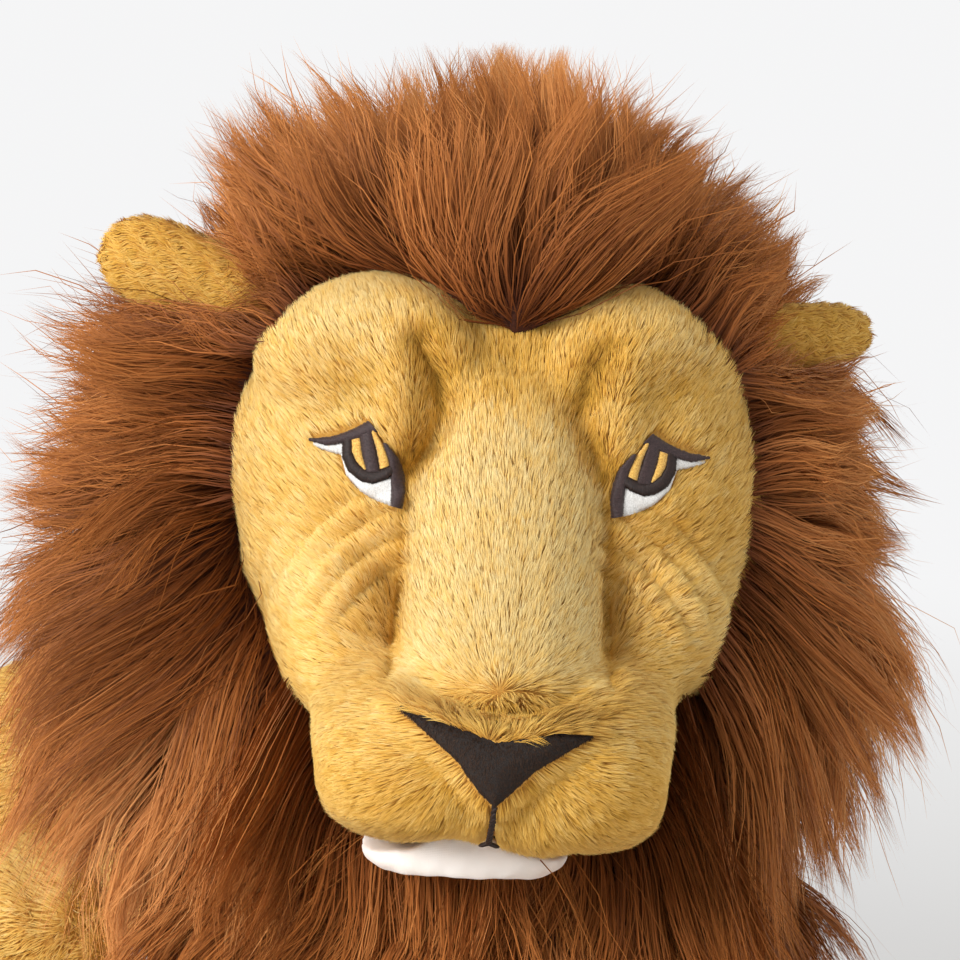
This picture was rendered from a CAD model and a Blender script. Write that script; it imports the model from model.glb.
"""Looks of the plush lion: stuffed covers, planted pile, a combed mane and embroidered eyes.

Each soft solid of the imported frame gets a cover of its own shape, and the pile is planted on the
covers strand by strand. Sizes are in millimetres until MM turns them into metres. The head has a
frame of its own, with X to the lion's left, Y up its face and Z out of its face.
"""

import math

import bmesh
import bpy
import numpy as np
from mathutils import Matrix, Vector
from mathutils.bvhtree import BVHTree
from mathutils.kdtree import KDTree


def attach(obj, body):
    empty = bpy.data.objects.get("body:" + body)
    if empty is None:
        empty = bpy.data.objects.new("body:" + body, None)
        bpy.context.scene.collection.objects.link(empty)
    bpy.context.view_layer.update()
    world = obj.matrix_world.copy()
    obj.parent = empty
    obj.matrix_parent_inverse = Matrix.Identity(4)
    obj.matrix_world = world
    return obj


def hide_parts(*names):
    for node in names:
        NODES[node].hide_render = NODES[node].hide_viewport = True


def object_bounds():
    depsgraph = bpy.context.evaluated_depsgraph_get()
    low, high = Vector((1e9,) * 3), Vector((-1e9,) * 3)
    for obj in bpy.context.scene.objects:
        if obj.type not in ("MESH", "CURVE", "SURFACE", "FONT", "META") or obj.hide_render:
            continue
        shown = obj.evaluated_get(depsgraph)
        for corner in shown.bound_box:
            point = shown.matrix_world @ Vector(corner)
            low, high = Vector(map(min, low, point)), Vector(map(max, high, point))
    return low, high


MM = 0.001
SIDES = (("left", 1), ("right", -1))
DOWN = np.array((0.0, 0.0, -1.0))

# Head
HEAD_ORIGIN = (-5.0, -149.0, 250.0)
HEAD_YAW = math.radians(-15.0)
HEAD_PITCH = math.radians(8.0)

# Camera, square to the face
CAMERA_DISTANCE = 1300.0
CAMERA_ROLL = math.radians(2.6)
CAMERA_SHIFT = (-9.0, -2.0)
PICTURE_WIDTH = 316.8
SENSOR = 36.0

# Light
SKY_STRENGTH = 0.52
BACKDROP = (0.915, 0.915, 0.92, 1)
FLOOR_GLOW = 0.42

# Pile may stand this far outside the frame's box, and it and the covers rest this far over the floor
ROOM = 19.0
FLOOR_ROOM = 0.3

# Levels of the face in the head's frame, and how far the bridge of the nose reaches to each side
BROW_LEVEL = 16.0
PAD_LEVEL = -62.0
NOSE_LEVEL = -78.0
LIP_LEVEL = -104.0
CHIN_LEVEL = -124.0
BRIDGE_HALF = 31.0

# Level between the upper and lower strands of the mane, and the gap between lion and floor
MANE_LEVEL = -20.0
FLOOR_GAP = 0.4

# Outlines of the nose and of the eye on the lion's left
NOSE_OUTLINE = [
    (-30.5, -70.5), (-24, -73.2), (-17, -74.6), (-9, -77.6), (0, -80.2), (8, -79.0),
    (17, -76.6), (28, -77.2), (19, -82.5), (11, -87.5), (5, -93.5), (0, -98.5),
    (-5, -94), (-11.5, -85.5), (-19, -79.5),
]
EYE_OUTLINE = [
    (63.2, 8.4), (52.6, 11.0), (44.6, 14.8), (41.8, 11.4), (38.6, 7.0), (34.6, 2.9),
    (32.7, -2.5), (32.3, -8.0), (33.0, -12.4), (37.0, -11.8), (42, -10.2), (46.8, -7.6),
    (51.2, -2.9), (53.2, 3.4), (58.0, 4.5),
]

# Stitching of the eye on the lion's left: the two edges that the threads of each patch join
STITCHED = {
    "eye": [
        ([(61.9, 7.4), (57.5, 7.4), (52.0, 8.2)], [(61.9, 6.2), (57.4, 4.7), (52.4, 3.6)]),
        ([(52.6, 4.4), (50.3, -0.7), (46.1, -3.5), (42.5, -4.1), (38.2, -2.5), (36.0, -1.4)],
         [(52.9, 3.4), (50.9, -2.9), (46.2, -7.5), (41.8, -10.0), (38.1, -11.2), (35.6, -11.9)]),
    ],
    "iris": [
        ([(50.0, 8.2), (49.6, 4.8), (48.0, 1.6), (45.4, -0.5)],
         [(47.2, 9.0), (46.5, 4.9), (45.8, 2.0), (45.1, -0.5)]),
        ([(43.6, 11.3), (41.8, 6.4), (41.0, 2.8), (40.5, -0.2)],
         [(42.9, 11.5), (40.0, 7.2), (38.2, 3.6), (37.7, 1.0)]),
    ],
    "rim": [
        ([(52.7, 8.4), (52.6, 3.0), (50.4, -1.5), (46.3, -4.4), (42.5, -5.0), (38.2, -3.4),
          (36.2, -2.0)],
         [(49.8, 8.6), (49.6, 4.2), (47.8, 1.1), (45.2, -0.6), (42.7, -0.9), (40.4, -0.5),
          (37.3, 0.7)]),
    ],
    "eyelid": [
        ([(47.4, 9.6), (46.2, 4.0), (45.0, -1.2)], [(43.6, 11.2), (42.1, 5.2), (40.5, -1.0)]),
        ([(39.6, 7.6), (37.6, 2.2), (36.8, -2.8), (36.4, -7.2), (36.3, -11.6)],
         [(38.8, 7.6), (34.9, 3.0), (32.9, -2.0), (32.4, -7.0), (32.9, -12.4)]),
        ([(63.4, 8.2), (57.2, 8.8), (52.4, 10.4), (48.6, 12.2), (44.9, 14.4)],
         [(63.4, 7.8), (57.6, 6.4), (52.1, 7.6), (46.8, 9.4), (42.0, 11.3)]),
    ],
}
THREAD_RADIUS = 0.30
THREAD_STEP = 0.40
THREAD_POINTS = 6
THREAD_SIDES = 6
STITCH_LIFT = {"eye": 1.6, "iris": 2.5, "rim": 2.6, "eyelid": 2.7}

# Mane round the face: angle in degrees, the seam's radius and how far the tips reach
MANE_EDGE = np.array([
    (-66, 86, 172), (-48, 89, 160), (-36, 90, 148), (-28, 90, 152), (-20, 89, 160), (-15, 89, 150),
    (-9, 88, 138), (-1, 87, 128), (8, 87, 125), (18, 86, 127), (28, 85, 127), (34, 84, 128),
    (44, 82, 129), (56, 76, 124), (64, 69, 125), (75, 59, 135), (84, 51, 143), (91, 48, 148),
    (97, 53, 149), (103, 58, 136), (108, 63, 134), (113, 68, 137), (124, 77, 147), (134, 82, 148),
    (143, 84, 140), (150, 85, 138), (157, 86, 156), (163, 86, 168), (168, 87, 161), (175, 87, 166),
    (186, 88, 172), (198, 89, 180), (206, 90, 196), (246, 86, 192), (294, 86, 180),
], float)

# Partings of the mane in front of each ear: angle, half width and how far forward they start
EAR_PARTINGS = ((28.0, 6.2, -62), (148.5, 6.4, -42))

# Stuffing that rounds the face out over its joined solids: centre and half sizes
FILLERS = [
    ((-40, 35, 32), (38, 28, 31)),
    ((35, 35, 32), (31, 28, 31)),
    ((-50, -62, 40), (19, 23, 34)),
    ((42, -62, 40), (17, 23, 34)),
    ((-24, -96, 88), (29, 15, 34)),
    ((24, -96, 88), (27, 15, 34)),
    ((0, -98, 98), (24, 16, 29)),
    ((14, -101.5, 98), (18, 15, 28)),
]

# The fold between each brow and the bridge of the nose, deeper over the lion's right eye
FOLD = [(29, 38), (24, 28), (22.5, 17), (26, 7), (31, 0)]
FOLD_DEPTH = {"left": 3.6, "right": 6.6}

# The seam down each side of the bridge, and the ridge round each brow
CHEEK_SEAM = [(27, 8), (31, -14), (31.5, -40), (32, -64)]
BROW_RIDGE = [(58, 20), (68, 28), (66, 38), (50, 46)]

# Depth of the soft folds under each eye
CREASE_DEPTH = {"left": 1.15, "right": 0.85}

# Hair on the crown starts above this line
HAIRLINE = [
    (-87, 24), (-84, 36), (-75, 49), (-63, 56), (-50, 59.8), (-37, 61.7), (-24, 59), (-11, 52.5),
    (-2, 45.5), (9, 49.5), (20, 56), (27, 59.5), (39, 61.5), (52, 56), (61, 47), (68, 35), (73, 24),
]

# Edge of the face's pile at each side, behind which the mane starts
MASK_EDGE = {
    1: [(-92, 74), (-84, 64), (-75, 60), (-66, 62), (-48, 69), (-28, 75), (6, 77), (24, 75),
        (34, 69), (44, 62), (54, 52), (62, 38)],
    -1: [(-92, 78), (-75, 76), (-60, 78), (-28, 86), (6, 88), (20, 87), (32, 83), (43, 74),
         (56, 63), (62, 46)],
}

# Strands: how deep their roots sit, how unequal the locks are and between which shares of their
# length they stay, how much more loose strands curl, and how much of a strand is cut off at most
ROOT_DEPTH = 0.3
LOCK_STRETCH = 0.1
LOCK_REACH = (0.66, 1.06)
LOOSE_CURL = 2.2
MOST_CUT = 0.42

# Locks of each kind of pile: strands in a lock, how far they are drawn together, and how late
FACE_LOCKS = [(8, 0.35, 1.2), (40, 0.22, 1.5)]
NOSE_LOCKS = [(8, 0.3, 1.0)]
EAR_LOCKS = [(7, 0.5, 1.2)]
BODY_LOCKS = [(7, 0.4, 1.2)]
TAIL_LOCKS = [(5, 0.45, 1.2)]
MANE_LOCKS = [(12, 0.55, 0.9), (110, 0.86, 1.25), (440, 0.35, 1.0)]

# The backing of the mane: how far it is drawn in under its strands, as a share of the mane's depth
# on the head, and in millimetres on the chest
BACKING_DEPTH = 0.42
CHEST_DEPTH = 7.0

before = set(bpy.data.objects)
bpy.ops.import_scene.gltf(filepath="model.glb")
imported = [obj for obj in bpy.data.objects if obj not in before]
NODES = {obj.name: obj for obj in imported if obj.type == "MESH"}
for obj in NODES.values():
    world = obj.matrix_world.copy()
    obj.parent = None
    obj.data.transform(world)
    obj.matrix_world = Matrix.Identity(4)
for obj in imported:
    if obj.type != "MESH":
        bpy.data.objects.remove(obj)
cad_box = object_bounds()
LOWEST = np.array(cad_box[0]) - ROOM * MM
HIGHEST = np.array(cad_box[1]) + ROOM * MM
LOWEST[2] = FLOOR_ROOM * MM


# Frames

def head_frame():
    """The head's frame in the world."""
    left = Vector((math.cos(HEAD_YAW), math.sin(HEAD_YAW), 0))
    out = Vector((
        math.sin(HEAD_YAW) * math.cos(HEAD_PITCH),
        -math.cos(HEAD_YAW) * math.cos(HEAD_PITCH),
        math.sin(HEAD_PITCH),
    ))
    turn = Matrix((left, out.cross(left), out)).transposed().to_4x4()
    return Matrix.Translation(Vector(HEAD_ORIGIN) * MM) @ turn


HEAD = head_frame()
HEAD_AXES = np.array(HEAD.to_3x3())
HEAD_PLACE = np.array(HEAD.translation)


def to_head(points):
    """World points in metres as points of the head's frame in millimetres."""
    return (points - HEAD_PLACE) @ HEAD_AXES / MM


def from_head(points):
    """Points of the head's frame in millimetres as world points in metres."""
    return np.asarray(points) * MM @ HEAD_AXES.T + HEAD_PLACE


def unit(vectors):
    """The same vectors, one long."""
    return vectors / np.maximum(np.linalg.norm(vectors, axis=-1, keepdims=True), 1e-9)


def bump(points, centre, size):
    """One at a centre, and fading to nothing at about twice a size from it."""
    centre = np.array(centre, float)
    size = np.array(size, float)
    reach = (points[:, :len(centre)] - centre) / size
    return np.exp(-(reach ** 2).sum(1))


def far_from(points, line):
    """Distance in a plane from points to a line through given points."""
    nearest = np.full(len(points), 1e9)
    flat = points[:, :2]
    for a, b in zip(line[:-1], line[1:]):
        a, b = np.array(a[:2], float), np.array(b[:2], float)
        along = b - a
        share = np.clip(((flat - a) @ along) / (along @ along), 0, 1)
        nearest = np.minimum(nearest, np.linalg.norm(flat - a - share[:, None] * along, axis=1))
    return nearest


def mirrored(points, sign):
    """Points of the lion's left side, on either side."""
    return [(x * sign, *rest) for x, *rest in points]


def groove(points, line, sign, width):
    """One along a line on either side of the face, and fading out at about twice a width from it."""
    return np.exp(-(far_from(points, mirrored(line, sign)) / width) ** 2)


def inside(points, outline):
    """Which points lie inside an outline, seen from the front."""
    x, y = points[:, 0], points[:, 1]
    result = np.zeros(len(points), bool)
    for (ax, ay), (bx, by) in zip(outline, outline[1:] + outline[:1]):
        crosses = (ay > y) != (by > y)
        at = ax + (y - ay) * (bx - ax) / (by - ay if by != ay else 1e-9)
        result ^= crosses & (x < at)
    return result


def step_up(value, low, high):
    """Nothing below low, one above high, and smooth between them."""
    share = np.clip((value - low) / (high - low), 0, 1)
    return share * share * (3 - 2 * share)


def columns(*parts):
    """Arrays and plain numbers as the columns of one array."""
    return np.stack(np.broadcast_arrays(*parts), 1)


# Materials

def colour(red, green, blue):
    """A colour as written for a screen, as the shader takes it."""
    parts = []
    for part in (red, green, blue):
        part /= 255
        parts.append(part / 12.92 if part <= 0.04045 else ((part + 0.055) / 1.055) ** 2.4)
    return (*parts, 1.0)


WHITE = (255, 255, 255)


class Cloth:
    """A node material with a Principled shader."""

    def __init__(self, name, rough, sheen=0.0, specular=0.3, tint=WHITE):
        self.material = bpy.data.materials.new(name)
        self.material.use_nodes = True
        self.tree = self.material.node_tree
        self.shader = self.tree.nodes["Principled BSDF"]
        for socket, value in (
                ("Roughness", rough), ("Specular IOR Level", specular), ("Sheen Weight", sheen),
                ("Sheen Roughness", 0.5), ("Sheen Tint", colour(*tint))):
            self.shader.inputs[socket].default_value = value

    def node(self, kind, **inputs):
        node = self.tree.nodes.new("ShaderNode" + kind)
        for name, value in inputs.items():
            node.inputs[name.replace("_", " ")].default_value = value
        return node

    def link(self, source, target):
        self.tree.links.new(source, target)

    def ramp(self, factor, stops):
        """Colours along a factor."""
        node = self.tree.nodes.new("ShaderNodeValToRGB")
        elements = node.color_ramp.elements
        while len(elements) < len(stops):
            elements.new(0.5)
        for element, (place, value) in zip(elements, stops):
            element.position = place
            element.color = colour(*value)
        self.link(factor, node.inputs["Fac"])
        return node.outputs["Color"]

    def mix(self, way, factor, first, second):
        node = self.tree.nodes.new("ShaderNodeMix")
        node.data_type = "RGBA"
        node.blend_type = way
        node.inputs["Factor"].default_value = factor
        self.link(first, node.inputs["A"])
        self.link(second, node.inputs["B"])
        return node.outputs["Result"]

    def noise(self, scale, detail=3.0):
        """Grain at a number of waves to the metre."""
        place = self.node("NewGeometry").outputs["Position"]
        node = self.node("TexNoise", Scale=scale, Detail=detail)
        self.link(place, node.inputs["Vector"])
        return node.outputs["Fac"]

    def relief(self, height, distance, strength=0.6):
        node = self.node("Bump", Strength=strength, Distance=distance)
        self.link(height, node.inputs["Height"])
        self.link(node.outputs["Normal"], self.shader.inputs["Normal"])

    def paint(self, source):
        self.link(source, self.shader.inputs["Base Color"])
        return self.material


def pile_material(name, tones, shade, rough, sheen):
    """Strands: the tone runs across the map, and root to tip runs up it."""
    cloth = Cloth(name, rough, sheen, 0.2, tones[-2][1])
    spot = cloth.node("UVMap")
    spot.uv_map = "OFBake"
    split = cloth.node("SeparateXYZ")
    cloth.link(spot.outputs["UV"], split.inputs["Vector"])
    tone = cloth.ramp(split.outputs["X"], tones)
    along = cloth.ramp(split.outputs["Y"], shade)
    return cloth.paint(cloth.mix("MULTIPLY", 1.0, tone, along))


def cover_material(name, dark, light, grain=900.0):
    """Backing cloth under the pile: a fine knit with soft blotches."""
    cloth = Cloth(name, 0.95)
    fine = cloth.noise(grain)
    cloth.relief(fine, 0.0006)
    return cloth.paint(cloth.ramp(fine, [(0.3, dark), (0.7, light)]))


def thread_material(name, dark, light, sheen=0.3):
    """Embroidery thread: a silky twist with a little change of colour."""
    cloth = Cloth(name, 0.5, sheen, 0.35)
    twist = cloth.noise(2600.0, 2.0)
    cloth.relief(twist, 0.0001)
    return cloth.paint(cloth.ramp(twist, [(0.35, dark), (0.65, light)]))


def woven_material(name, dark, light):
    """Smooth woven cloth with a fine plain weave and faint folds."""
    cloth = Cloth(name, 0.75, 0.25, 0.3)
    place = cloth.node("NewGeometry").outputs["Position"]
    waves = []
    for direction in ("X", "Z"):
        wave = cloth.node("TexWave", Scale=620.0, Distortion=1.5, Detail=1.0)
        wave.bands_direction = direction
        cloth.link(place, wave.inputs["Vector"])
        waves.append(wave.outputs["Color"])
    weave = cloth.mix("MULTIPLY", 1.0, *waves)
    cloth.relief(weave, 0.00012, 0.35)
    return cloth.paint(cloth.ramp(cloth.noise(60.0), [(0.3, dark), (0.7, light)]))


GOLD_TONES = [
    (0.0, (122, 94, 26)), (0.2, (188, 144, 50)), (0.4, (232, 182, 78)), (0.6, (250, 212, 122)),
    (0.8, (254, 230, 164)), (1.0, (255, 242, 190)),
]
GOLD_SHADE = [(0.0, (216, 184, 136)), (0.5, (246, 236, 216)), (1.0, WHITE)]
MANE_TONES = [
    (0.0, (86, 46, 22)), (0.3, (150, 90, 44)), (0.55, (194, 122, 60)), (0.8, (226, 157, 92)),
    (1.0, (244, 193, 132)),
]
MANE_SHADE = [
    (0.0, (128, 98, 84)), (0.35, (210, 194, 184)), (0.75, (242, 236, 230)), (1.0, WHITE),
]
NAP_TONES = [(0.0, (34, 22, 17)), (0.6, (66, 48, 37)), (1.0, (98, 76, 60))]
NAP_SHADE = [(0.0, (160, 150, 150)), (1.0, WHITE)]

gold_pile = pile_material("gold_pile", GOLD_TONES, GOLD_SHADE, 0.75, 0.5)
mane_pile = pile_material("mane_pile", MANE_TONES, MANE_SHADE, 0.6, 0.15)
dark_nap = pile_material("dark_nap", NAP_TONES, NAP_SHADE, 0.7, 0.1)
gold_cover = cover_material("gold_cover", (176, 122, 48), (210, 160, 78))
mane_cover = cover_material("mane_cover", (52, 26, 18), (84, 44, 28))
dark_cover = cover_material("dark_cover", (34, 28, 26), (54, 46, 42), 2400.0)
white_cover = woven_material("white_cover", (253, 242, 234), (255, 250, 245))

# Slot and material of the thread of each patch
THREADS = {
    "eye": ("white_thread", thread_material("white_thread", (214, 212, 208), (246, 245, 242))),
    "iris": ("amber_thread", thread_material("amber_thread", (206, 150, 62), (246, 205, 108))),
    "rim": ("dark_thread", thread_material("rim_thread", (24, 14, 11), (52, 34, 28), 0.0)),
    "eyelid": ("dark_thread", thread_material("dark_thread", (44, 31, 31), (74, 56, 56), 0.1)),
}


# Covers

def put(name, data):
    """A new object in the scene."""
    placed = bpy.data.objects.new(name, data)
    bpy.context.scene.collection.objects.link(placed)
    return placed


def mesh_object(mesh, body, slot, material):
    """A piece that rides on a body and takes its finish from a slot."""
    piece = put(mesh.name, mesh)
    mesh.materials.clear()
    mesh.materials.append(material)
    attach(piece, body)
    return piece


def mesh_of(shape, name):
    """A bmesh as a mesh."""
    mesh = bpy.data.meshes.new(name)
    shape.to_mesh(mesh)
    shape.free()
    return mesh


def smoothed(mesh):
    """The same mesh, shaded smooth."""
    mesh.polygons.foreach_set("use_smooth", np.ones(len(mesh.polygons), bool))
    return mesh


def rows_of(items, attribute, width, kind=np.float32):
    """An attribute of all items, a row for each."""
    values = np.empty(len(items) * width, kind)
    items.foreach_get(attribute, values)
    return values.reshape(-1, width)


def applied(mesh, *modifiers):
    """A mesh with modifiers applied: each is its kind and its settings."""
    probe = put("probe", mesh)
    for kind, settings in modifiers:
        modifier = probe.modifiers.new(kind, kind)
        for name, value in settings.items():
            setattr(modifier, name, value)
    made = bpy.data.meshes.new_from_object(probe.evaluated_get(bpy.context.evaluated_depsgraph_get()))
    bpy.data.objects.remove(probe)
    return made


class Skin:
    """A mesh whose surface pile is planted on."""

    def __init__(self, mesh, body, slot, material):
        self.mesh = smoothed(mesh)
        self.body = body
        self.slot = slot
        self.piece = mesh_object(mesh, body, slot, material)
        self.read()

    def read(self):
        """The mesh as arrays: places, normals and triangles with their areas."""
        self.co = rows_of(self.mesh.vertices, "co", 3).astype(float)
        self.normals = rows_of(self.mesh.vertex_normals, "vector", 3).astype(float)
        self.mesh.calc_loop_triangles()
        self.triangles = rows_of(self.mesh.loop_triangles, "vertices", 3, np.int32)
        a, b, c = (self.co[self.triangles[:, i]] for i in range(3))
        self.areas = np.linalg.norm(np.cross(b - a, c - a), axis=1) / 2

    def write(self, places):
        """Move the mesh to new places."""
        self.mesh.vertices.foreach_set("co", places.astype(np.float32).ravel())
        self.mesh.update()
        self.read()

    def rest(self):
        """Lay what reaches below the floor flat on it."""
        places = self.co.copy()
        places[:, 2] = np.maximum(places[:, 2], FLOOR_ROOM * MM)
        self.write(places)

    def press(self, depth):
        """Push the surface in by a depth in millimetres, one for all or one at each point."""
        self.write(self.co - self.normals * (np.reshape(depth, (-1, 1)) * MM))

    def relax(self, share, rounds):
        """Even the surface out, most where share is one."""
        a, b = rows_of(self.mesh.edges, "vertices", 2, np.int32).T
        count = len(self.co)
        links = np.bincount(a, minlength=count) + np.bincount(b, minlength=count)
        places = self.co.copy()
        for _ in range(rounds):
            sums = [np.bincount(a, places[b, k], count) + np.bincount(b, places[a, k], count)
                    for k in range(3)]
            middle = np.stack(sums, 1) / links[:, None]
            places += (middle - places) * (0.5 * share)[:, None]
        self.write(places)

    def scatter(self, count, random):
        """Points spread evenly over the surface, with the normals there."""
        shares = np.cumsum(self.areas)
        chosen = np.searchsorted(shares, random.random(count) * shares[-1])
        corners = self.triangles[np.minimum(chosen, len(self.triangles) - 1)]
        u, v = random.random(count), random.random(count)
        flip = u + v > 1
        u[flip], v[flip] = 1 - u[flip], 1 - v[flip]
        weights = np.stack((1 - u - v, u, v), 1)[:, :, None]
        places = (self.co[corners] * weights).sum(1)
        normals = unit((self.normals[corners] * weights).sum(1))
        return places, normals


class Cover(Skin):
    """A stuffed cover over one or more solids, joined, closed and smoothed."""

    def __init__(self, name, nodes, body, voxel, grow, rounds, fill=0.8, slot="gold_plush",
                 material=gold_cover, fillers=()):
        shape = bmesh.new()
        for node in nodes:
            shape.from_mesh(NODES[node].data)
        bmesh.ops.remove_doubles(shape, verts=shape.verts, dist=1e-6)
        shape.normal_update()
        for vert in shape.verts:
            vert.co += vert.normal * grow * MM
        for centre, half in fillers:
            place = HEAD @ Matrix.Translation(Vector(centre) * MM)
            place = place @ Matrix.Diagonal((*(Vector(half) * MM), 1))
            bmesh.ops.create_icosphere(shape, subdivisions=3, radius=1, matrix=place)
        mesh = applied(
            mesh_of(shape, name + "_solids"),
            ("REMESH", {"mode": "VOXEL", "voxel_size": voxel * MM}),
            ("SMOOTH", {"factor": 0.5, "iterations": rounds}),
        )
        mesh.name = name
        super().__init__(mesh, body, slot, material)
        self.rest()
        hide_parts(*nodes)


# Pile

class Growth:
    """How the pile grows at each of a set of roots.

    A field sets lay, length, lift and tone, and may change droop and keep.
    """

    def __init__(self, places, normals, random):
        self.places = places
        self.normals = normals
        self.random = random
        self.head = to_head(places)
        self.keep = np.ones(len(places), bool)
        self.droop = 0.0

    def spread(self, value, amount):
        """A value for each root, scattered by an amount."""
        return value * (1 + amount * self.random.standard_normal(len(self.places)))

    def drawn(self, mean, amount, low, high):
        """A number for each root, scattered round a mean between two bounds."""
        return np.clip(self.random.normal(mean, amount, len(self.places)), low, high)

    def jitter(self, amount):
        """A random step for each root."""
        return self.random.normal(0, amount, (len(self.places), 3))

    def brush(self, way, amount):
        """Lay the pile along a way in the head's frame, scattered by an amount."""
        self.lay = (way + self.jitter(amount)) @ HEAD_AXES.T

    def thin(self):
        """Drop the roots that aren't kept, and give each of the others its own values."""
        for name in ("places", "normals", "lay"):
            setattr(self, name, getattr(self, name)[self.keep])
        for name in ("length", "lift", "droop", "tone"):
            values = np.full(len(self.keep), getattr(self, name), float)
            setattr(self, name, values[self.keep])


def only(field, chosen):
    """A field that grows where a test chooses."""
    def part(growth):
        field(growth)
        growth.keep &= chosen(growth)
    return part


def gather(curves, roots, random, size, pull, power, hold):
    """Draw strands together into locks of about a size, and give each strand its lock's number."""
    centres = random.permutation(len(roots))[:max(1, len(roots) // size)]
    tree = KDTree(len(centres))
    for number, index in enumerate(centres):
        tree.insert(roots[index], number)
    tree.balance()
    lock = np.array([tree.find(root)[1] for root in roots])
    share = np.linspace(0, 1, curves.shape[1]) ** power
    leader = curves[centres][lock]
    curves += (leader - curves) * (pull * share)[None, :, None] * hold[:, None, None]
    return lock


def strand_mesh(name, curves, sides, width, tone, normals, soft):
    """Flat tapering strands, with the tone across the map and root to tip up it.

    Each strand is lit in part as the cloth that it grows on, by a share that soft gives, as a thick
    pile is.
    """
    count, points = curves.shape[:2]
    pairs = points - 1
    shares = np.linspace(0, 1, points)
    taper = (1 - shares[:pairs] ** 2 * 0.6)[None, :, None]
    reach = sides[:, :pairs] * taper * (width[:, None, None] * MM / 2)
    left = curves[:, :pairs] - reach
    right = curves[:, :pairs] + reach
    body = np.stack((left, right), 2).reshape(count, pairs * 2, 3)
    verts = np.concatenate((body, curves[:, pairs:]), 1)
    stride = pairs * 2 + 1
    quads = (np.arange(pairs - 1)[:, None] * 2 + (0, 1, 3, 2)).ravel()
    loops = np.concatenate((quads, (2 * pairs - 2, 2 * pairs - 1, 2 * pairs)))
    starts = np.arange(pairs) * 4
    mesh = bpy.data.meshes.new(name)
    mesh.vertices.add(count * stride)
    mesh.vertices.foreach_set("co", verts.astype(np.float32).ravel())
    mesh.loops.add(count * len(loops))
    every = (np.arange(count)[:, None] * stride + loops[None, :]).ravel()
    mesh.loops.foreach_set("vertex_index", every.astype(np.int32))
    mesh.polygons.add(count * len(starts))
    begin = (np.arange(count)[:, None] * len(loops) + starts[None, :]).ravel()
    mesh.polygons.foreach_set("loop_start", begin.astype(np.int32))
    along = np.concatenate((np.repeat(shares[:pairs], 2), [1.0]))
    across = np.concatenate((np.tile([-1.0, 1.0], pairs), [0.0])) * 0.004
    tone = np.clip(tone, 0.01, 0.99)
    place = np.empty((count, stride, 2))
    place[:, :, 0] = tone[:, None] + across[None, :]
    place[:, :, 1] = np.clip(along, 0.005, 0.995)[None, :]
    layer = mesh.uv_layers.new(name="OFBake")
    layer.data.foreach_set("uv", place[:, loops].astype(np.float32).ravel())
    mesh.update(calc_edges=True)
    own = rows_of(smoothed(mesh).vertex_normals, "vector", 3)
    lit = unit(own.reshape(count, stride, 3) * (1 - soft) + normals[:, None, :] * soft)
    mesh.normals_split_custom_set_from_vertices(lit.reshape(-1, 3).tolist())
    return mesh


def cut(curves, reach):
    """Cut each strand off at a share of its length."""
    last = curves.shape[1] - 1
    at = np.linspace(0, last, last + 1)[None, :] * reach[:, None]
    before = np.minimum(at.astype(int), last - 1)
    part = (at - before)[:, :, None]
    rows = np.arange(len(curves))[:, None]
    return curves[rows, before] * (1 - part) + curves[rows, before + 1] * part


def within(curves):
    """Shorten the strands that reach out of the room, and lay those under its floor on the floor."""
    roots = curves[:, :1]
    spans = curves - roots
    room = np.where(spans > 0, HIGHEST - roots, LOWEST - roots)
    share = np.where(abs(spans) > 1e-6, room / np.where(abs(spans) > 1e-6, spans, 1), 1)
    share[:, :, 2] = np.where(spans[:, :, 2] < 0, 1, share[:, :, 2])
    curves = roots + spans * np.clip(share.min(axis=(1, 2)), 0, 1)[:, None, None]
    return np.clip(curves, LOWEST, HIGHEST)


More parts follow.
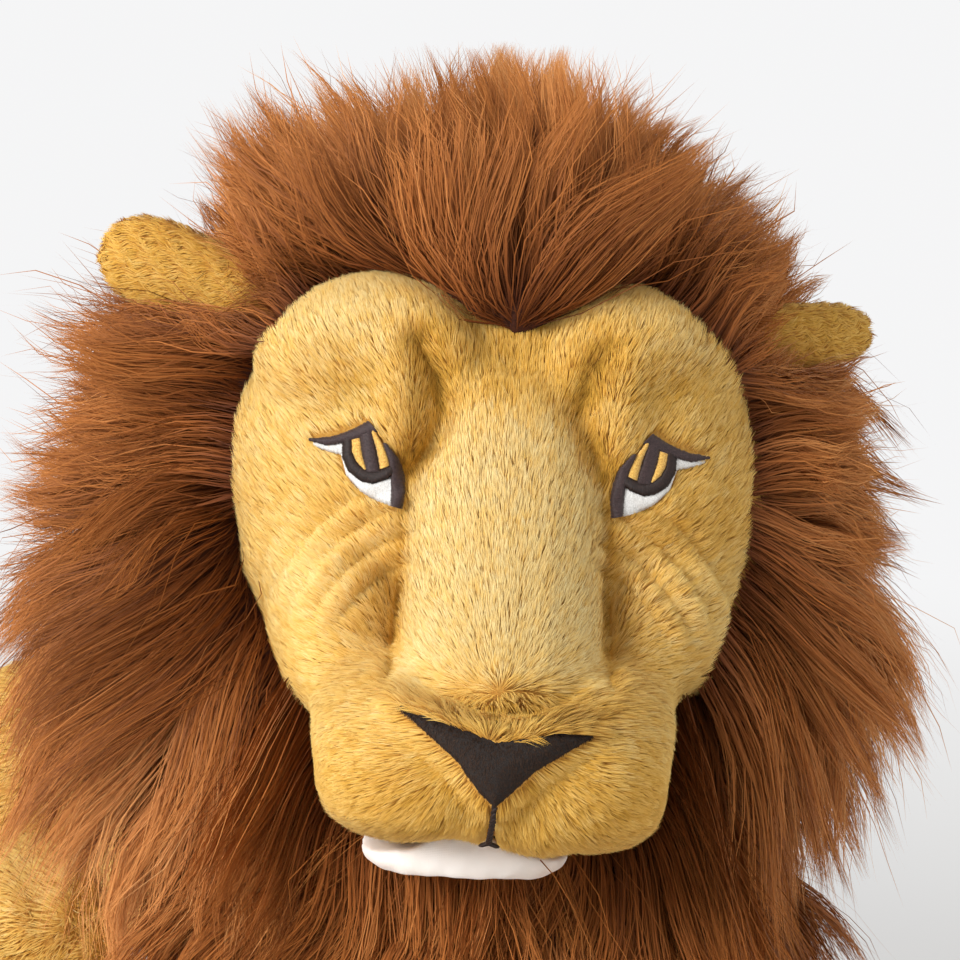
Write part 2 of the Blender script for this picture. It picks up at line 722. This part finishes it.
def plant(name, cover, density, width, field, seed, locks, segments=2, twist=0.4, wave=0.0,
          frizz=0.0, loose=0.0, soft=0.7, lock_tone=0.04, material=gold_pile):
    """Grow pile on a cover: density is strands to the square millimetre."""
    random = np.random.default_rng(seed)
    thin = 1.0
    growth = Growth(*cover.scatter(int(cover.areas.sum() / MM ** 2 * density * thin), random), random)
    field(growth)
    growth.thin()
    count = len(growth.places)
    steps = segments + 1
    lay = unit(growth.lay)
    along = (lay * growth.normals).sum(1)[:, None]
    lay = lay - along * growth.normals
    if wave:
        lay = lay + np.maximum(along, 0) * growth.normals
    lay = unit(lay)
    curves = np.empty((count, steps, 3))
    curves[:, 0] = growth.places - growth.normals * ROOT_DEPTH * MM
    headings = np.empty((count, steps, 3))
    for step in range(1, steps):
        share = (step - 0.5) / segments
        rise = (growth.lift * (1 - share) ** 0.8)[:, None]
        heading = unit(growth.normals * rise + lay + DOWN * (growth.droop * share)[:, None])
        headings[:, step] = heading
        curves[:, step] = curves[:, step - 1] + heading * (growth.length * MM / segments)[:, None]
    headings[:, 0] = headings[:, 1]
    across = unit(np.cross(headings, growth.normals[:, None, :]))
    tone = growth.tone + random.normal(0, 0.05, count)
    free = random.random(count) < loose
    hold = np.where(free, random.uniform(0.0, 0.5, count), random.normal(1, 0.08, count))
    stretch = np.ones(count)
    for size, pull, power in locks:
        lock = gather(curves, growth.places, random, size, pull, power, hold)
        number = lock.max() + 1
        phase = random.random(number)[lock] * 2 * math.pi
        tone = tone + random.normal(0, lock_tone, number)[lock]
        stretch *= random.normal(1, LOCK_STRETCH, number)[lock]
    if wave:
        stretch = np.clip(stretch, *LOCK_REACH)[:, None, None]
        curves = curves[:, :1] + (curves - curves[:, :1]) * stretch
        share = np.linspace(0, 1, steps)[None, :]
        sway = np.sin(phase[:, None] + share * 5.5) * share * wave * growth.length[:, None] * MM
        curves += across * sway[:, :, None]
        for direction, turns in ((across, 9.0), (growth.normals[:, None, :], 7.0)):
            starts = random.random(count)[:, None] * 2 * math.pi
            curl = np.sin(starts + share * turns) * share * np.where(free, LOOSE_CURL, 1.0)[:, None]
            curves += direction * (curl * frizz * MM)[:, :, None]
        curves = cut(curves, np.where(free, 1, 1 - MOST_CUT * random.random(count) ** 1.5))
    angle = random.normal(0, twist, count)[:, None, None]
    sides = across * np.cos(angle) + np.cross(headings, across) * np.sin(angle)
    widths = width / math.sqrt(thin) * np.clip(random.normal(1, 0.2, count), 0.5, 1.6)
    mesh = strand_mesh(name, within(curves), sides, widths, tone, growth.normals, soft)
    mesh_object(mesh, cover.body, cover.slot, material)


# Face

def press_face(cover):
    """Work the seams, hollows and folds into the face."""
    x, y, w = to_head(cover.co).T
    brow = step_up(y, 8, 20) * step_up(abs(x), 8, 20) * step_up(w, -10, 10)
    cheek = step_up(abs(x), 33, 40) * step_up(y, -84, -72) * (1 - step_up(y, -48, -34))
    cover.relax(np.maximum(brow, cheek * step_up(w, 0, 15)), 70)
    p = to_head(cover.co)
    x, y, w = p.T
    temple = step_up(y, -24, 14) * (1 - step_up(y, 36, 62)) * step_up(-x, 50, 72)
    x -= 5.5 * temple * step_up(w, -50, -10)
    low = (y < LIP_LEVEL) & (w > 40)
    y[low] = LIP_LEVEL + (y[low] - LIP_LEVEL) * (0.74 + 0.12 * step_up(x[low], -10, 8))
    cover.write(from_head(p))
    front = step_up(w, 10, 40)
    depth = 2.0 * np.exp(-((x + 0.8) / 2.2) ** 2) * (1 - step_up(y, -99, -95)) * front
    depth += 7.5 * bump(p, (60, -90, 60), (10, 22, 50)) + 3.5 * bump(p, (-62, -90, 60), (10, 18, 50))
    for side, sign in SIDES:
        depth += FOLD_DEPTH[side] * groove(p, FOLD, sign, 5) * front
        depth -= 3.2 * bump(p, (35 * sign, 20), (6, 13)) * front
        depth += 1.2 * bump(p, (45 * sign, 2), (13, 9)) * front
        depth += 1.6 * bump(p, (50 * sign, 24), (11, 8)) * front
        depth -= 1.8 * groove(p, BROW_RIDGE, sign, 7) * front
        depth += 1.6 * groove(p, CHEEK_SEAM, sign, 2.4) * front
        around = p[:, :2] - np.array((14.0 * sign, -66.0))
        radius = np.linalg.norm(around, axis=1)
        turn = np.degrees(np.arctan2(around[:, 1], around[:, 0] * sign))
        window = step_up(turn, 12, 30) * (1 - step_up(turn, 62, 82))
        window *= step_up(radius, 34, 40) * (1 - step_up(radius, 62, 70))
        depth += CREASE_DEPTH[side] * np.cos((radius - 38) * 2 * math.pi / 8.5) * window * front
    depth += 1.5 * bump(p, (0, 34), (5, 9)) * front
    cover.press(depth)
    p = to_head(cover.co)
    x, y, w = p.T
    near = np.exp(-(np.maximum(-rim_distance(p), 0) / 3.5) ** 2) * step_up(w, 88, 104)
    w += (nose_height(x, y) - 2.4 - w) * near
    cover.write(from_head(p))


def rim_distance(points):
    """How far points lie inside the nose's outline, and below nothing outside it."""
    distance = far_from(points, NOSE_OUTLINE + NOSE_OUTLINE[:1])
    return np.where(inside(points, NOSE_OUTLINE), distance, -distance)


def nose_height(x, y):
    """How far out the nose's surface lies."""
    return 139.0 - 0.0118 * x * x - 0.012 * (y + 84) ** 2


def behind_edge(p):
    """Which points are on the head's sides, past the edge of the face's pile."""
    result = np.zeros(len(p), bool)
    for sign, edge in MASK_EDGE.items():
        limit = np.interp(p[:, 1], *zip(*edge))
        result |= (p[:, 0] * sign > limit) | ((p[:, 0] * sign > 40) & (p[:, 2] < -25))
    return result


def face_field(growth):
    """The face's pile lies away from the nose, with darker tufts in its hollows."""
    p = growth.head
    x, y, w = p.T
    away = columns(x * 1.1, y - NOSE_LEVEL, -12.0)
    away += growth.jitter(0.16) * np.linalg.norm(away, axis=1)[:, None]
    over_nose = bump(p, (3, -71), (27, 8)) * step_up(w, 60, 90)
    swirl = np.sin(x * 0.42 + 1) * 2 + np.sin(y * 0.6 + x * 0.2) * 2
    ruffle = columns(0.4 * np.sin(swirl) + 0.012 * x, -0.8, 0.0)
    away = unit(away) * (1 - over_nose)[:, None] + unit(ruffle) * over_nose[:, None]
    growth.lay = away @ HEAD_AXES.T
    jaw = step_up(-y, 70, 90) * step_up(abs(x), 40, 56)
    growth.length = growth.spread(5.4, 0.16) * (1 + 0.5 * over_nose) * (1 - 0.35 * jaw)
    growth.lift = 0.8 - 0.3 * jaw + 1.5 * over_nose
    front = w > 20
    tone = 0.6 + 0.06 * step_up(-x, 24, 50) * step_up(y, -50, -20)
    tone += 0.17 * (1 - step_up(abs(x), 26, 33)) * step_up(y, -78, -60) * (1 - step_up(y, 8, 24))
    for _, sign in SIDES:
        eye = mirrored(EYE_OUTLINE, sign)
        growth.keep &= ~(inside(p, eye) & front)
        tip = p + unit(away) * growth.length[:, None]
        growth.length[inside(tip, eye) & front] *= 0.45
        tone -= 0.30 * groove(p, FOLD, sign, 6.5) * front
        tone -= 0.12 * bump(p, (50 * sign, 25), (12, 9)) * front
        tone -= 0.10 * bump(p, (58 * sign, -14), (18, 12)) * front
        tone += 0.08 * bump(p, (50 * sign, 46), (24, 14)) + 0.08 * bump(p, (62 * sign, -38), (16, 14))
        tone -= 0.12 * groove(p, CHEEK_SEAM, sign, 2.2) * front
    tone -= 0.16 * bump(p, (0, 34), (20, 13)) * front
    tone -= 0.27 * over_nose * (0.85 + 0.15 * np.sin(swirl))
    growth.tone = tone - 0.14 * step_up(-y, 76, 96)
    growth.keep &= ~((rim_distance(p) > -0.2) & (w > 80))
    growth.keep &= (w > 15) | (growth.random.random(len(p)) < 0.35)
    growth.keep &= ~behind_edge(p) & (w > -60)
    growth.keep &= ~((abs(x + 0.6) < 1.2) & (y < -96) & (w > 90))


face = Cover(
    "face_cover",
    ["head", "nose_bridge", "brow_left", "brow_right", "cheek_left", "cheek_right",
     "muzzle_left", "muzzle_right"],
    "head", 1.5, 1.2, 26, fillers=FILLERS)
press_face(face)


def face_piece(name, chosen, seed):
    """Pile on the part of the face that a test chooses by place across and up it."""
    field = only(face_field, lambda growth: chosen(*growth.head.T[:2]))
    plant(name, face, 4.2, 0.26, field, seed, FACE_LOCKS, soft=0.8)


face_piece("bridge_pile", lambda x, y: (abs(x) < BRIDGE_HALF) & (y < BROW_LEVEL) & (y > NOSE_LEVEL), 11)
for side, sign in SIDES:
    face_piece("brow_pile_" + side, lambda x, y: (x * sign > 0) & (y > BROW_LEVEL), 12 + sign)
    face_piece(
        "cheek_pile_" + side,
        lambda x, y: (x * sign >= BRIDGE_HALF) & (y <= BROW_LEVEL) & (y > PAD_LEVEL), 15 + sign)
    face_piece(
        "muzzle_pile_" + side,
        lambda x, y: (x * sign > 0) & (y <= np.where(abs(x) < BRIDGE_HALF, NOSE_LEVEL, PAD_LEVEL)),
        18 + sign)


# Embroidery

def in_front(surface, x, y, lift):
    """The point that is lifted off a surface by a little, at a place on the face."""
    start = Vector(from_head((x, y, 220)))
    hit = surface.ray_cast(start, Vector(-HEAD_AXES[:, 2]))
    place = Vector(to_head(np.array(hit[0] if hit[0] else from_head((x, y, 60)))))
    return np.array((x, y, place.z + lift))


def along_line(line, count):
    """Points at even steps along a line."""
    line = np.array(line, float)
    reach = np.concatenate(([0], np.cumsum(np.linalg.norm(np.diff(line, axis=0), axis=1))))
    at = np.linspace(0, reach[-1], count)
    return np.stack([np.interp(at, reach, line[:, k]) for k in range(line.shape[1])], 1)


def tube(shape, points, radius, sides=THREAD_SIDES, taper=0.55):
    """A closed round thread through points of the head's frame."""
    rings = []
    last = len(points) - 1
    for k, point in enumerate(points):
        ahead = points[min(k + 1, last)] - points[max(k - 1, 0)]
        ahead = ahead / max(np.linalg.norm(ahead), 1e-6)
        across = np.cross(ahead, (0.0, 0.0, 1.0))
        across = across / max(np.linalg.norm(across), 1e-6)
        above = np.cross(across, ahead)
        size = radius * (taper if k in (0, last) else 1)
        ring = []
        for turn in np.arange(sides) * 2 * math.pi / sides:
            at = point + (across * math.cos(turn) + above * math.sin(turn)) * size
            ring.append(shape.verts.new(from_head(at)))
        rings.append(ring)
    for a, b in zip(rings[:-1], rings[1:]):
        for side in range(sides):
            other = (side + 1) % sides
            shape.faces.new((a[side], b[side], b[other], a[other]))
    shape.faces.new(rings[0])
    shape.faces.new(rings[-1][::-1])


def finished(shape, name):
    """A bmesh as a smooth mesh with its faces turned out."""
    bmesh.ops.recalc_face_normals(shape, faces=shape.faces)
    return smoothed(mesh_of(shape, name))


def satin(shape, surface, first, second, lift, random):
    """Close threads from one edge of a patch to the other, domed over the cloth."""
    length = max(
        np.linalg.norm(np.diff(np.array(edge, float), axis=0), axis=1).sum()
        for edge in (first, second))
    count = max(4, int(length / THREAD_STEP))
    for a, b in zip(along_line(first, count), along_line(second, count)):
        across = b - a
        overhang = random.uniform(0.05, 0.3, 2) / max(np.linalg.norm(across), 0.5)
        a, b = a - across * overhang[0], b + across * overhang[1]
        points = []
        for share in np.linspace(0, 1, THREAD_POINTS):
            x, y = a + (b - a) * share
            dome = math.sin(math.pi * share) ** 0.6
            points.append(in_front(surface, x, y, lift - 0.7 + 0.7 * dome))
        tube(shape, points, THREAD_RADIUS * random.uniform(0.9, 1.1))


def embroider_eyes(surface):
    """White, amber and dark satin stitching for each eye."""
    for side, sign in SIDES:
        for patch, bands in STITCHED.items():
            random = np.random.default_rng(40 + len(patch) + sign)
            shape = bmesh.new()
            for edges in bands:
                satin(shape, surface, *(mirrored(edge, sign) for edge in edges),
                      STITCH_LIFT[patch], random)
            mesh = finished(shape, f"{patch}_stitching_{side}")
            piece = mesh_object(mesh, "head", *THREADS[patch])
            if patch != "rim":
                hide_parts(f"{patch}_{side}")


face_surface = BVHTree.FromPolygons(face.co.tolist(), face.triangles.tolist())
embroider_eyes(face_surface)


# Nose, mouth and chin

def make_nose():
    """The nose: a low dome that fills its outline, over cloth that is tucked under its rim."""
    step, thickness, margin = 0.8, 5.0, 1.2
    xs, ys = np.arange(-35, 33, step), np.arange(-103, -65, step)
    flat = np.array([(x, y) for y in ys for x in xs])
    edge = rim_distance(flat)
    height = nose_height(flat[:, 0], flat[:, 1])
    height += np.where(edge > 0, -1.6 + 2.6 * (1 - np.exp(-edge / 2.6)), -1.6 + 2.2 * edge)
    shape = bmesh.new()
    verts = [shape.verts.new(from_head((*place, out))) for place, out in zip(flat, height)]
    wide = len(xs)
    for row in range(len(ys) - 1):
        for first in range(row * wide, (row + 1) * wide - 1):
            corners = [first, first + 1, first + wide + 1, first + wide]
            if edge[corners].max() > -margin:
                shape.faces.new([verts[corner] for corner in corners])
    bmesh.ops.delete(shape, geom=[v for v in shape.verts if not v.link_faces], context="VERTS")
    back = bmesh.ops.extrude_face_region(shape, geom=shape.faces[:])
    for vert in back["geom"]:
        if isinstance(vert, bmesh.types.BMVert):
            vert.co = Vector(from_head(to_head(np.array(vert.co)) - np.array((0, 0, thickness))))
    skin = Skin(finished(shape, "nose_pad"), "head", "dark_cloth", dark_cover)
    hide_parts("nose")
    return skin


def nose_field(growth):
    """Very short dark nap that lies down the nose."""
    growth.brush(columns(growth.head[:, 0] * 0.02, -1.0, 0.1), 0.2)
    growth.length = growth.spread(1.6, 0.15)
    growth.lift = 0.5
    growth.tone = 0.45 + 0.2 * growth.random.random(len(growth.places))
    growth.keep = (rim_distance(growth.head) > -0.5) & ((growth.normals @ HEAD_AXES[:, 2]) > 0.1)


plant("nose_nap", make_nose(), 5.0, 0.28, nose_field, 21, NOSE_LOCKS, material=dark_nap)


def make_mouth():
    """A dark cord of two twisted threads from the nose to the lip, with a short foot."""
    line = along_line(
        [(0, -97.5, 134), (-0.4, -103, 130.5), (-1.0, -108, 124.5), (-1.4, -111.5, 118)], 40)
    shape = bmesh.new()
    for turn in (0, math.pi):
        points = []
        for k, place in enumerate(line):
            angle = turn + k * 0.9
            off = np.array((math.cos(angle), 0.3 * math.sin(angle), math.sin(angle)))
            points.append(place + off * 0.45)
        tube(shape, points, 0.62, 8, 0.6)
    foot = along_line([(-4.2, -112.2, 116.5), (-1.4, -111.2, 118.5), (1.8, -112.4, 116.5)], 9)
    tube(shape, foot, 0.7, 8, 0.5)
    piece = mesh_object(finished(shape, "mouth_cord"), "head", *THREADS["rim"])
    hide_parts("mouth_seam")


make_mouth()


def shape_chin(cover):
    """Draw the chin's cloth out to the pads' corners and flatten it below, with soft folds."""
    p = to_head(cover.co)
    x, y, w = p.T
    x[:] = x * 1.02 - 8.5
    y -= 3.5 * step_up(w, 50, 80)
    y[:] = np.where(y < CHIN_LEVEL, CHIN_LEVEL + (y - CHIN_LEVEL) * 0.15, y)
    fold = np.sin(x * 0.34 + y * 0.25) + 0.6 * np.sin(x * 0.8 - y * 0.5 + 2)
    cover.write(from_head(p))
    cover.press(0.16 * fold * step_up(w, 50, 70))


shape_chin(Cover("chin_cover", ["chin"], "head", 1.2, 0.9, 8, 0.8, "white_cloth", white_cover))


# Mane

def mane_edge(p):
    """How far points of the head's frame are from its axis, and the mane's seam and reach there."""
    angle = (np.degrees(np.arctan2(p[:, 1], p[:, 0])) + 66) % 360 - 66
    seam, reach = (np.interp(angle, MANE_EDGE[:, 0], MANE_EDGE[:, k]) for k in (1, 2))
    return np.hypot(p[:, 0], p[:, 1]), seam, reach


def parting(p):
    """How far points lie in front of an ear, and which way the hair turns there."""
    angle = np.degrees(np.arctan2(p[:, 1], p[:, 0]))
    share = turn = 0.0
    for centre, half, start in EAR_PARTINGS:
        off = (angle - centre) / half
        ahead = step_up(p[:, 2], start - 6, start + 6)
        share = share + np.exp(-off ** 4) * ahead
        turn = turn + np.sign(off) * np.exp(-(off / 1.5) ** 2) * ahead
    return share, turn


def backing(name, node, body, voxel, grow, rounds):
    """The dark cover under a section of long strands."""
    return Cover(name, [node], body, voxel, grow, rounds, 0.5, "mane_pile", mane_cover)


def draw_in(cover):
    """Bring a backing in to leave room for the strands, and more in front of the ears."""
    p = to_head(cover.co)
    radius, seam, _ = mane_edge(p)
    depth = BACKING_DEPTH + 0.4 * parting(p)[0]
    scale = (seam + np.maximum(radius - seam, 0) * (1 - depth)) / np.maximum(radius, 1)
    p[:, :2] *= np.where(radius > seam, scale, 1)[:, None]
    cover.write(from_head(p))


def outside(places, surface):
    """Which places lie outside a closed surface."""
    result = np.ones(len(places), bool)
    for number, place in enumerate(places):
        spot, normal, _, _ = surface.find_nearest(place)
        result[number] = (Vector(place) - spot).dot(normal) > 0
    return result


def mane_field(growth):
    """The head's mane lies away from the face, parts round the ears, then falls."""
    x, y, w = growth.head.T
    radius, seam, reach = mane_edge(growth.head)
    before_ear, turn = parting(growth.head)
    low = 1 - step_up(y, -100, 15)
    hang = low * step_up(x, 0, 60)
    right = step_up(-x, 20, 100)
    out = columns(
        x * (1 - 0.5 * hang), y + 4, -18 - 10 * step_up(y, -20, 60) + 12 * step_up(w, -60, 10))
    growth.brush(unit(out) + unit(columns(-y, x, 0.0)) * (0.75 * turn)[:, None], 0.19)
    growth.lay[:, 2] -= 0.9 * low + 0.6 * hang
    growth.droop = 0.15 + 1.2 * low
    past = np.clip((radius - seam) / 60, 0, 1)
    length = growth.spread(86 - 14 * past, 0.16) + (14 + 12 * right) * low
    tip = reach * growth.drawn(0.97, 0.085, 0.72, 1.09) - radius
    most = np.maximum(tip * 1.06, 12) + (60 + 24 * right) * low ** 1.5
    growth.length = np.clip(length, 12, most) * (1 - 0.55 * before_ear)
    growth.lift = growth.drawn(0.5, 0.2, 0.1, 1.2)
    lower_right = step_up(-x, 20, 110) * step_up(-y, 10, 100)
    growth.tone = 0.46 + 0.22 * past + 0.16 * lower_right + 0.14 * step_up(y, 60, 110)
    growth.tone += 0.19 * step_up(x, 20, 110) - 0.10 * step_up(-x, 50, 120) * np.exp(-(y / 60) ** 2)
    growth.keep &= outside(growth.places, face_surface)
    growth.keep &= (w < 20) | (y > np.interp(x, *zip(*HAIRLINE)) - 1.5) | (abs(x) > 66)


def crown_field(growth):
    """The top of the mane stands up and fans out."""
    mane_field(growth)
    growth.droop *= 0.2


def nape_field(growth):
    """The back of the head's mane falls down the neck."""
    x, y, _ = growth.head.T
    growth.brush(columns(x * 0.011, y * 0.006 - 0.7, -0.35), 0.14)
    growth.droop = 0.5
    growth.length = growth.spread(53, 0.15)
    growth.lift = growth.drawn(0.4, 0.14, 0.1, 1)
    growth.tone = 0.5 + 0.1 * step_up(y, -80, 80)


def temple_field(growth):
    """Mane that is sewn on the side of the head, behind the face's edge."""
    mane_field(growth)
    growth.keep = behind_edge(growth.head) & (growth.head[:, 2] > -60) & (growth.head[:, 1] > -86)


def beard_field(growth):
    """Mane that hangs from under the jaw, behind the chin."""
    x, y, w = growth.head.T
    growth.brush(columns(x * 0.006, -1.0, 0.75), 0.13)
    growth.droop = growth.lift = growth.tone = 0.5
    growth.length = growth.spread(100, 0.16)
    growth.keep = (y < -66) & (w < 52) & (w > -60)


def chest_field(growth):
    """The chest's mane hangs from the neck."""
    x, y, z = growth.places.T / MM
    top = step_up(growth.normals[:, 2], 0.2, 0.8)
    growth.lay = unit(columns(x, y + 130, 0.0)) * (0.8 * top)[:, None] + DOWN + growth.jitter(0.12)
    growth.droop = 1.1
    growth.length = growth.spread(np.clip(z * 0.75 - 20, 24, 78), 0.18)
    growth.lift = growth.drawn(0.3, 0.12, 0.05, 1) * (1 - 0.6 * top)
    growth.tone = 0.54
    growth.keep = growth.normals[:, 2] > -0.5


def tuft_field(growth):
    """Strands that run past the end of the tail."""
    growth.lay = np.array((1.0, -0.1, 0.0)) + growth.jitter(0.14)
    growth.length = growth.spread(30, 0.2)
    growth.lift = 0.35
    growth.droop = 0.1
    growth.tone = 0.46


def comb(name, cover, field, density, seed, segments=5, width=0.39):
    """Long strands in locks, some of them loose."""
    plant(name, cover, density, width, field, seed, MANE_LOCKS, segments, twist=0.6, wave=0.12,
          frizz=1.0, loose=0.07, soft=0.45, lock_tone=0.06, material=mane_pile)


sections = {}
for section in ("crown", "left", "right", "nape"):
    sections[section] = backing("mane_cover_" + section, "mane_" + section, "head", 3.5, 0.5, 10)
    draw_in(sections[section])
for side, sign in SIDES:
    comb("mane_strands_crown_" + side, sections["crown"],
         only(crown_field, lambda growth: growth.head[:, 0] * sign > 0), 1.15, 30 + sign)
    comb("mane_strands_upper_" + side, sections[side],
         only(mane_field, lambda growth: growth.head[:, 1] > MANE_LEVEL), 0.76, 33 + sign)
    comb("mane_strands_lower_" + side, sections[side],
         only(mane_field, lambda growth: growth.head[:, 1] < MANE_LEVEL), 0.8, 36 + sign)
comb("mane_strands_nape", sections["nape"], nape_field, 0.2, 34, width=0.6)
comb("mane_strands_temple", face, temple_field, 0.78, 40)
comb("mane_strands_beard", face, beard_field, 0.8, 41)
chest = [backing("mane_cover_" + section, "mane_" + section, "torso", 3.5, 0.2, 8)
         for section in ("collar", "bib")]
for number, part in enumerate(chest):
    part.press(CHEST_DEPTH)
    comb(part.mesh.name.replace("cover", "strands"), part, chest_field, 0.5, 42 + number)


# Ears, body and limbs

def body_field(length, lay_of, tone):
    """A field of short pile that lies as a function of place says."""
    def field(growth):
        places = growth.places / MM
        x, y, z = places.T
        growth.lay = unit(lay_of(places)) + growth.jitter(0.2)
        growth.length = growth.spread(length, 0.15)
        growth.lift = 0.55
        blotch = np.sin(x * 0.05 + 1) * np.sin(y * 0.045) * np.sin(z * 0.06 + 2)
        growth.tone = tone + 0.08 * blotch
        growth.keep &= ~((growth.normals[:, 2] < -0.6) & (z < 6))
    return field


def backward(places):
    """Pile that lies towards the tail and down the sides."""
    side = places[:, 0] * 0.008
    return columns(side, 1.0, -abs(side) - 0.1)


def curly(places, outward):
    """Pile that lies outwards in small curls."""
    x, _, z = places.T
    return outward + 0.5 * columns(np.sin(z * 0.9), np.sin(x * 0.8 + 1), np.sin(x * 0.7 + z * 0.5))


LIMBS = (("foreleg", ("foreleg_", "forepaw_"), 60), ("hind_leg", ("thigh_", "hind_foot_"), 70))
leg_field = body_field(6.5, backward, 0.56)
torso_field = body_field(7.0, backward, 0.56)
tail_field = body_field(7.0, lambda places: np.array((0.5, 0.5, 0.0)), 0.5)

for side, sign in SIDES:
    ear = Cover("ear_cover_" + side, ["ear_" + side], "ear_" + side, 1.5, 0.8, 6, 0.7)
    outward = np.array((sign, 0.2, 0.1))
    plant("ear_pile_" + side, ear, 2.4, 0.34,
          body_field(4.6, lambda places: curly(places, outward), 0.44), 50 + sign, EAR_LOCKS)
    for limb, nodes, seed in LIMBS:
        cover = Cover(f"{limb}_cover_{side}", [node + side for node in nodes], f"{limb}_{side}",
                      2.2, 0.8, 4)
        plant(f"{limb}_pile_{side}", cover, 0.75, 0.6, leg_field, seed + sign, BODY_LOCKS)
torso = Cover("torso_cover", ["torso"], "torso", 4.0, 0.8, 6)
for side, sign in SIDES:
    half = only(torso_field, lambda growth: growth.places[:, 0] * sign >= 0)
    plant("torso_pile_" + side, torso, 0.52, 0.72, half, 84 + sign, BODY_LOCKS)
tail = Cover("tail_cover", ["tail"], "tail", 2.0, 0.8, 6)
plant("tail_pile", tail, 0.6, 0.7, tail_field, 81, TAIL_LOCKS)
tuft = backing("tail_tuft_cover", "tail_tuft", "tail", 2.5, 0.2, 8)
comb("tail_tuft_strands", tuft, tuft_field, 0.9, 82, 4)


# Stage, light and camera

def add_light(name, energy, size, place, aim):
    """A soft panel that faces a point."""
    data = bpy.data.lights.new(name, "AREA")
    data.energy = energy
    data.shape = "DISK"
    data.size = size
    light = put(name, data)
    light.location = place
    light.rotation_euler = (Vector(aim) - Vector(place)).to_track_quat("-Z", "Y").to_euler()


def link_in(tree, kind, *sources, **values):
    """A shader node fed by sockets or plain values, in the order of its inputs."""
    node = tree.nodes.new("ShaderNode" + kind)
    for name, value in values.items():
        setattr(node, name, value)
    for number, source in enumerate(sources):
        if isinstance(source, bpy.types.NodeSocket):
            tree.links.new(source, node.inputs[number])
        elif source is not None:
            node.inputs[number].default_value = source
    return node.outputs[0]


def background_seen(tree):
    """One for a camera or mirror ray."""
    path = tree.nodes.new("ShaderNodeLightPath")
    first = link_in(tree, "Math", path.outputs["Is Camera Ray"], path.outputs["Is Glossy Ray"],
                    operation="MAXIMUM")
    return link_in(tree, "Math", first, path.outputs["Is Transmission Ray"], operation="MAXIMUM")


def floor_material():
    """Pale board: its shadow shows near the lion, and further off it is the backdrop's white."""
    cloth = Cloth("floor_board", 0.9, specular=0.0)
    cloth.shader.inputs["Base Color"].default_value = (0.86, 0.86, 0.86, 1)
    tree = cloth.tree
    half = link_in(tree, "BsdfDiffuse", (0.42, 0.42, 0.42, 1))
    glow = link_in(tree, "Emission", (1, 1, 1, 1), FLOOR_GLOW)
    near = link_in(tree, "AddShader", half, glow)
    far = link_in(tree, "Emission", BACKDROP, 1.0)
    place = link_in(tree, "NewGeometry")
    away = link_in(tree, "VectorMath", place, operation="LENGTH").node.outputs["Value"]
    fade = link_in(tree, "MapRange", away, 0.5, 1.3, 0.0, 1.0, interpolation_type="SMOOTHSTEP")
    seen = link_in(tree, "MixShader", fade, near, far)
    whole = link_in(tree, "MixShader", background_seen(tree), cloth.shader.outputs["BSDF"], seen)
    tree.links.new(whole, tree.nodes["Material Output"].inputs["Surface"])
    return cloth.material


def make_stage():
    """A pale floor under a pale sky."""
    shape = bmesh.new()
    bmesh.ops.create_grid(shape, x_segments=8, y_segments=8, size=6.0)
    floor = put("floor", mesh_of(shape, "floor"))
    floor.location = (0, 0, -FLOOR_GAP * MM)
    floor.data.materials.append(floor_material())
    world = bpy.data.worlds.new("studio")
    bpy.context.scene.world = world
    world.use_nodes = True
    tree = world.node_tree
    light = tree.nodes["Background"]
    light.inputs["Color"].default_value = (1.0, 0.985, 0.96, 1)
    light.inputs["Strength"].default_value = SKY_STRENGTH
    seen = link_in(tree, "Background", BACKDROP, 1.0)
    mix = link_in(tree, "MixShader", background_seen(tree), light.outputs["Background"], seen)
    tree.links.new(mix, tree.nodes["World Output"].inputs["Surface"])


def make_camera():
    """The photograph's view: square to the face and a little above it."""
    left, up, out = (Vector(HEAD_AXES[:, k]) for k in range(3))
    across, rise = CAMERA_SHIFT
    aim = left * (across * math.cos(CAMERA_ROLL) - rise * math.sin(CAMERA_ROLL))
    aim += up * (across * math.sin(CAMERA_ROLL) + rise * math.cos(CAMERA_ROLL))
    place = HEAD.translation + (aim + out * CAMERA_DISTANCE) * MM
    data = bpy.data.cameras.new("camera")
    data.sensor_width = SENSOR
    data.lens = SENSOR * CAMERA_DISTANCE / PICTURE_WIDTH
    camera = put("camera", data)
    turn = Matrix((left, up, out)).transposed().to_4x4() @ Matrix.Rotation(CAMERA_ROLL, 4, "Z")
    camera.matrix_world = Matrix.Translation(place) @ turn
    bpy.context.scene.camera = camera


make_stage()
make_camera()
add_light("key", 67.0, 1.2, (-2.25, -1.15, 1.3), (0, -0.1, 0.2))
add_light("fill", 4.0, 1.6, (1.6, -1.3, 0.9), (0, 0, 0.2))
add_light("rim", 8.0, 1.2, (0.2, 1.8, 1.6), (0, 0.1, 0.2))
bpy.context.scene.view_settings.view_transform = "Standard"
